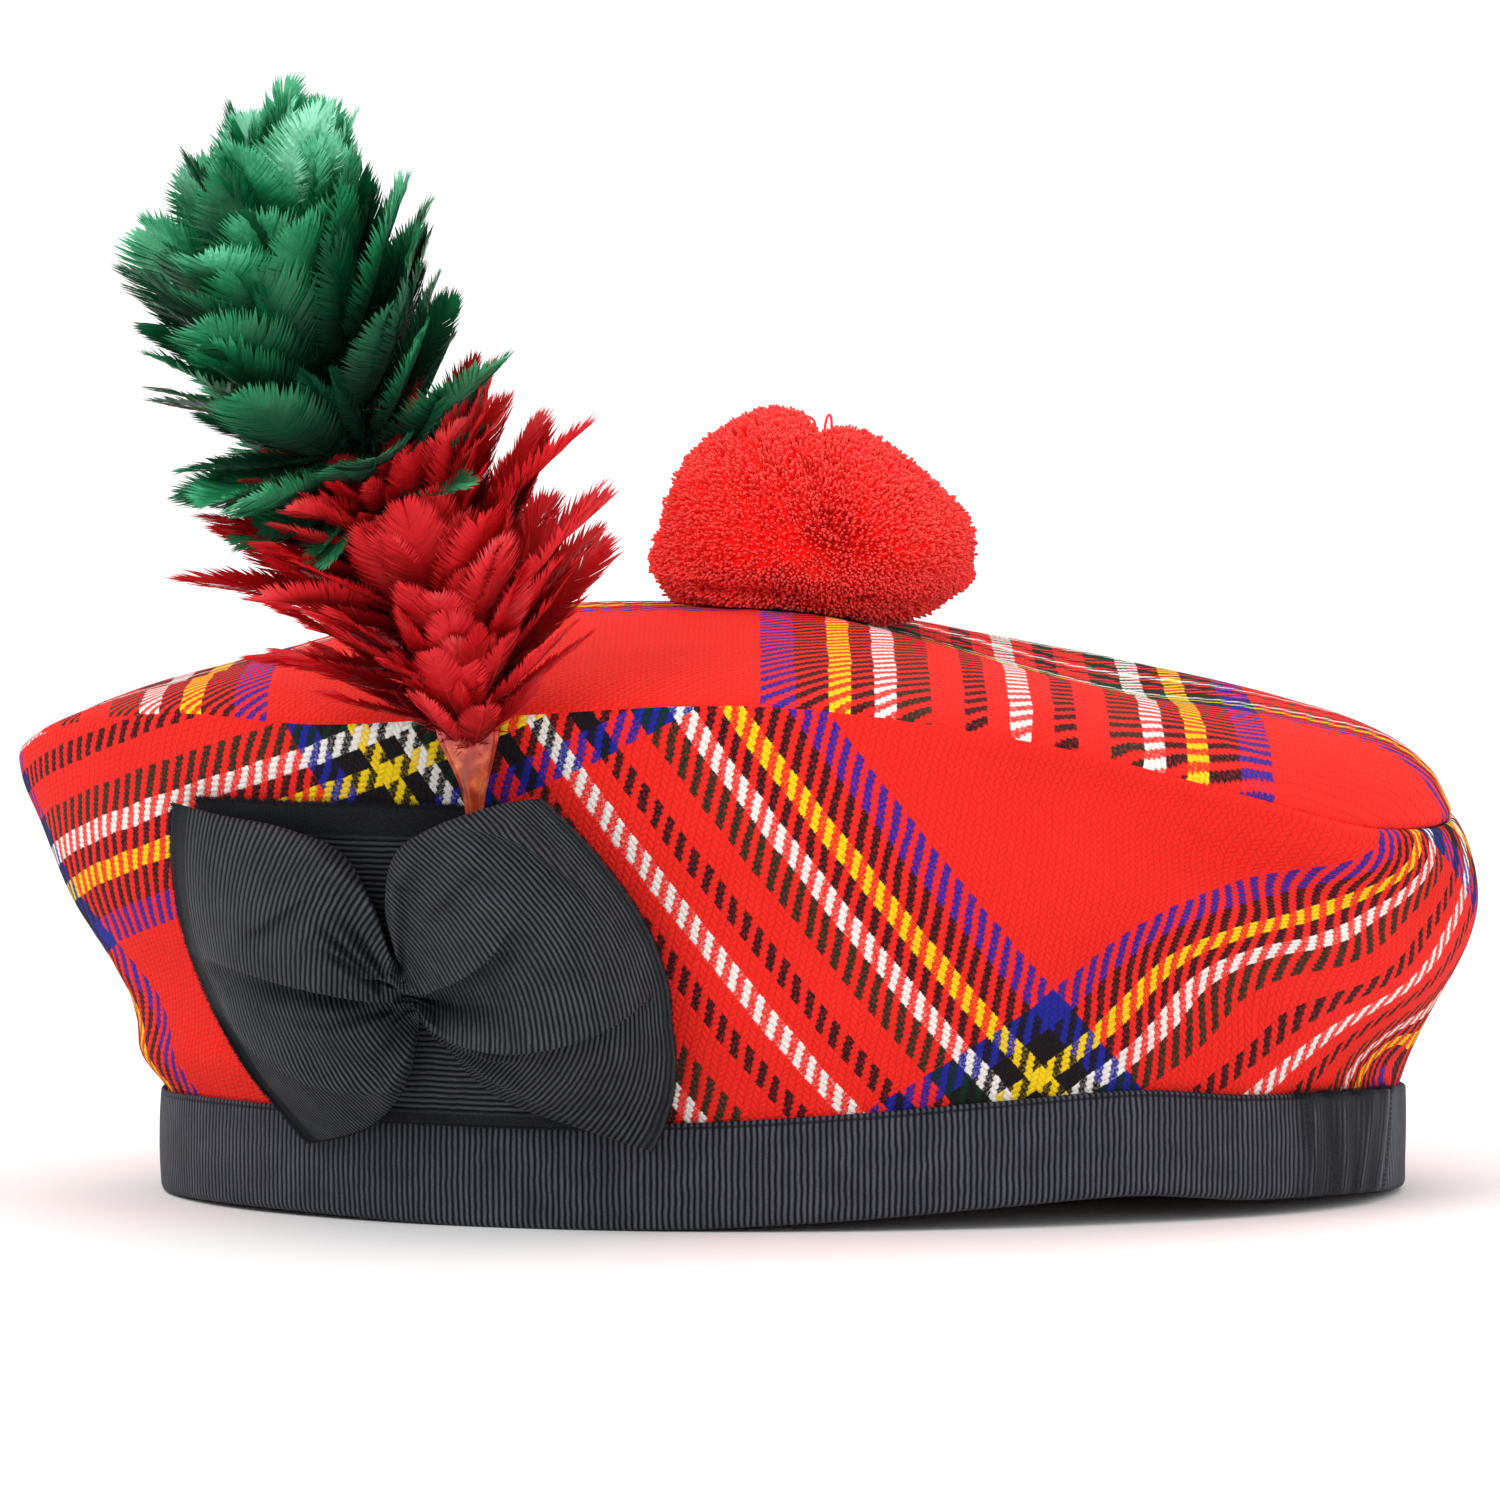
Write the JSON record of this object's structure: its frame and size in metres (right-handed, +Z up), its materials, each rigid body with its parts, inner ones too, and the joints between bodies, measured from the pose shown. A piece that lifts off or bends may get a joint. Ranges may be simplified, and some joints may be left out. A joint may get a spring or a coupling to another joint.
{
  "type": "balmoral bonnet",
  "caption": "Soft round tartan bonnet with a flared side, grosgrain headband, bow cockade, two-colour feather hackle and a pompom on top.",
  "frame": {"origin": "on the surface that the bonnet rests on, under the middle of its bounding box", "axes": "+Z up; -X to the front of the hat; -Y to its left side, which carries the cockade and hackle"},
  "size_m": [0.2622, 0.2588, 0.1944],
  "materials": {
    "tartan_wool": "twill wool cloth, red tartan",
    "black_grosgrain": "ribbed ribbon, dull sheen",
    "quill": "horny, slightly glossy",
    "red_feather": "soft feather, satin",
    "green_feather": "soft feather, satin",
    "scarlet_yarn": "cut wool yarn"
  },
  "bodies": {
    "root": {"crown_top": "tartan_wool", "crown_side": "tartan_wool", "headband": "black_grosgrain", "cockade_backing": "black_grosgrain", "cockade_bow": "black_grosgrain", "hackle_stem": "quill", "hackle_red": "red_feather", "hackle_green": "green_feather", "toorie": "scarlet_yarn"}
  },
  "joints": []
}
